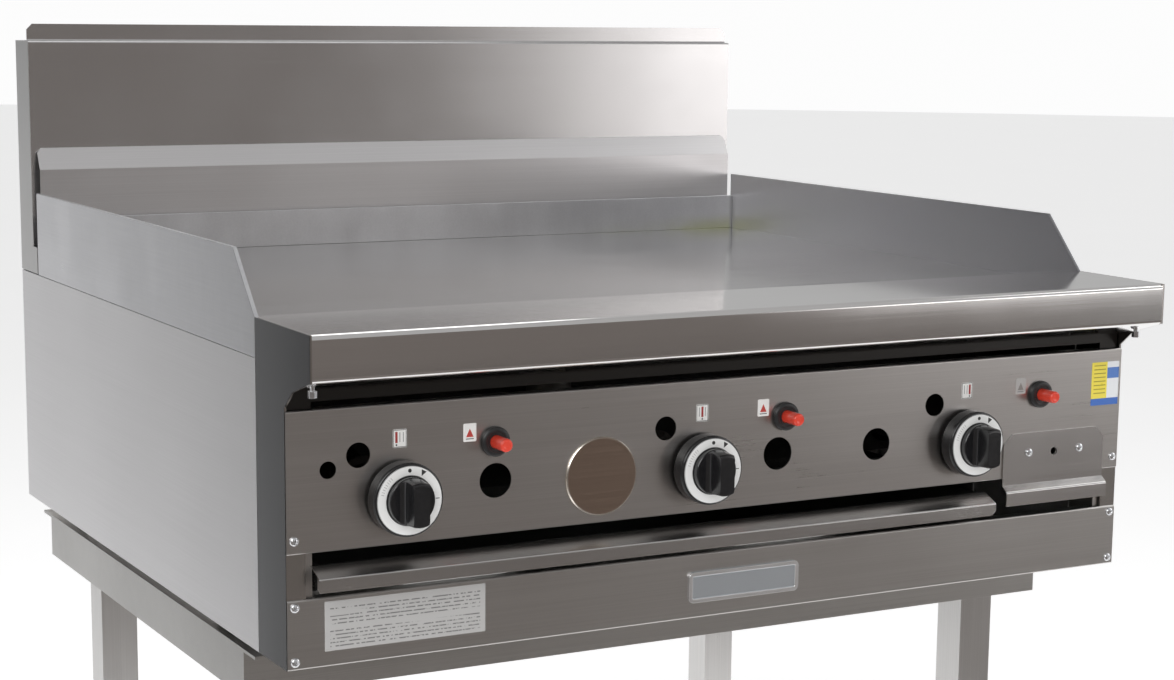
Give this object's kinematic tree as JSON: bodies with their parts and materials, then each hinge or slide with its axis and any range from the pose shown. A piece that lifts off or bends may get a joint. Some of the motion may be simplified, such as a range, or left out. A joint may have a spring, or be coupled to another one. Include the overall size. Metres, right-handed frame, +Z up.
{
  "type": "flat top griddle",
  "caption": "Commercial gas flat top griddle on a leg stand, with splash guards, flue splashback, front rail, control panel, push-button igniters and pull-out grease tray.",
  "frame": {"origin": "on the floor under the middle of the appliance's width and depth", "axes": "+X to the right seen from the front, +Y from the front rail to the back, +Z up"},
  "size_m": [0.9, 0.871, 1.1525],
  "materials": {
    "brushed_stainless": "brushed along its length, satin",
    "griddle_steel": "ground and polished, slightly mirror-like",
    "ground_steel": "mill ground, matt, with heat marks",
    "plated_frame": "zinc plated, dull",
    "badge_metal": "satin, blank",
    "bright_fasteners": "bright zinc",
    "burner_iron": "rough",
    "black_pipe": "matt black",
    "valve_brass": "turned",
    "spindle_steel": "turned",
    "knob_black": "moulded, gloss",
    "dial_white": "white printed ring",
    "button_red": "moulded, gloss",
    "igniter_black": "moulded",
    "pilot_steel": "heat tinted",
    "stand_stainless": "brushed",
    "foot_steel": "turned, satin"
  },
  "bodies": {
    "griddle": {"body_frame": "plated_frame", "side_panel_left": "brushed_stainless", "side_panel_right": "brushed_stainless", "end_plate_left": "brushed_stainless", "end_plate_right": "brushed_stainless", "rear_panel": "brushed_stainless", "plate_rail": "brushed_stainless", "griddle_plate": "griddle_steel", "side_splash_left": "ground_steel", "side_splash_right": "ground_steel", "rear_splash": "ground_steel", "grease_gutter": "brushed_stainless", "flue_deflector": "brushed_stainless", "splashback_front": "brushed_stainless", "splashback_shell": "brushed_stainless", "control_panel": "brushed_stainless", "panel_blank": "brushed_stainless", "lower_front_panel": "brushed_stainless", "badge": "badge_metal", "tray_end_cover": "brushed_stainless", "front_screws": "bright_fasteners", "burner_box": "plated_frame", "burner_left": "burner_iron", "burner_centre": "burner_iron", "burner_right": "burner_iron", "gas_pipework": "black_pipe", "valve_left": "valve_brass", "valve_centre": "valve_brass", "valve_right": "valve_brass", "igniter_left": "igniter_black", "igniter_centre": "igniter_black", "igniter_right": "igniter_black", "pilot_burners": "pilot_steel", "tray_runners": "plated_frame", "stand_frame": "stand_stainless", "leg_front_left": "stand_stainless", "leg_front_right": "stand_stainless", "leg_rear_left": "stand_stainless", "leg_rear_right": "stand_stainless", "stand_bolts": "bright_fasteners"},
    "plug_left": {"valve_plug_left": "valve_brass"},
    "control_left": {"spindle_left": "spindle_steel", "knob_left": "knob_black", "dial_left": "dial_white"},
    "button_left": {"igniter_button_left": "button_red"},
    "plug_centre": {"valve_plug_centre": "valve_brass"},
    "control_centre": {"spindle_centre": "spindle_steel", "knob_centre": "knob_black", "dial_centre": "dial_white"},
    "button_centre": {"igniter_button_centre": "button_red"},
    "plug_right": {"valve_plug_right": "valve_brass"},
    "control_right": {"spindle_right": "spindle_steel", "knob_right": "knob_black", "dial_right": "dial_white"},
    "button_right": {"igniter_button_right": "button_red"},
    "tray": {"grease_tray": "brushed_stainless"},
    "foot_front_left": {"foot_front_left": "foot_steel"},
    "foot_front_right": {"foot_front_right": "foot_steel"},
    "foot_rear_left": {"foot_rear_left": "foot_steel"},
    "foot_rear_right": {"foot_rear_right": "foot_steel"}
  },
  "joints": [
    {"name": "turn_left", "type": "hinge", "parent": "griddle", "child": "plug_left", "pos_m": [-0.346, -0.3785, 0.7622], "axis": [0, -1, 0], "range_deg": [0, 270]},
    {"name": "push_left", "type": "slide", "parent": "plug_left", "child": "control_left", "axis": [0, 1, 0], "range_m": [0, 0.0035], "stiffness_N_per_m": 1500, "springref_m": -0.004},
    {"name": "press_left", "type": "slide", "parent": "griddle", "child": "button_left", "axis": [0, 1, 0], "range_m": [0, 0.007], "stiffness_N_per_m": 900, "springref_m": -0.004},
    {"name": "turn_centre", "type": "hinge", "parent": "griddle", "child": "plug_centre", "pos_m": [-0.045, -0.3785, 0.7622], "axis": [0, -1, 0], "range_deg": [0, 270]},
    {"name": "push_centre", "type": "slide", "parent": "plug_centre", "child": "control_centre", "axis": [0, 1, 0], "range_m": [0, 0.0035], "stiffness_N_per_m": 1500, "springref_m": -0.004},
    {"name": "press_centre", "type": "slide", "parent": "griddle", "child": "button_centre", "axis": [0, 1, 0], "range_m": [0, 0.007], "stiffness_N_per_m": 900, "springref_m": -0.004},
    {"name": "turn_right", "type": "hinge", "parent": "griddle", "child": "plug_right", "pos_m": [0.256, -0.3785, 0.7622], "axis": [0, -1, 0], "range_deg": [0, 270]},
    {"name": "push_right", "type": "slide", "parent": "plug_right", "child": "control_right", "axis": [0, 1, 0], "range_m": [0, 0.0035], "stiffness_N_per_m": 1500, "springref_m": -0.004},
    {"name": "press_right", "type": "slide", "parent": "griddle", "child": "button_right", "axis": [0, 1, 0], "range_m": [0, 0.007], "stiffness_N_per_m": 900, "springref_m": -0.004},
    {"name": "tray_slide", "type": "slide", "parent": "griddle", "child": "tray", "axis": [0, -1, 0], "range_m": [0, 0.4]},
    {"name": "level_front_left", "type": "slide", "parent": "griddle", "child": "foot_front_left", "axis": [0, 0, -1], "range_m": [0, 0.03]},
    {"name": "level_front_right", "type": "slide", "parent": "griddle", "child": "foot_front_right", "axis": [0, 0, -1], "range_m": [0, 0.03]},
    {"name": "level_rear_left", "type": "slide", "parent": "griddle", "child": "foot_rear_left", "axis": [0, 0, -1], "range_m": [0, 0.03]},
    {"name": "level_rear_right", "type": "slide", "parent": "griddle", "child": "foot_rear_right", "axis": [0, 0, -1], "range_m": [0, 0.03]}
  ]
}
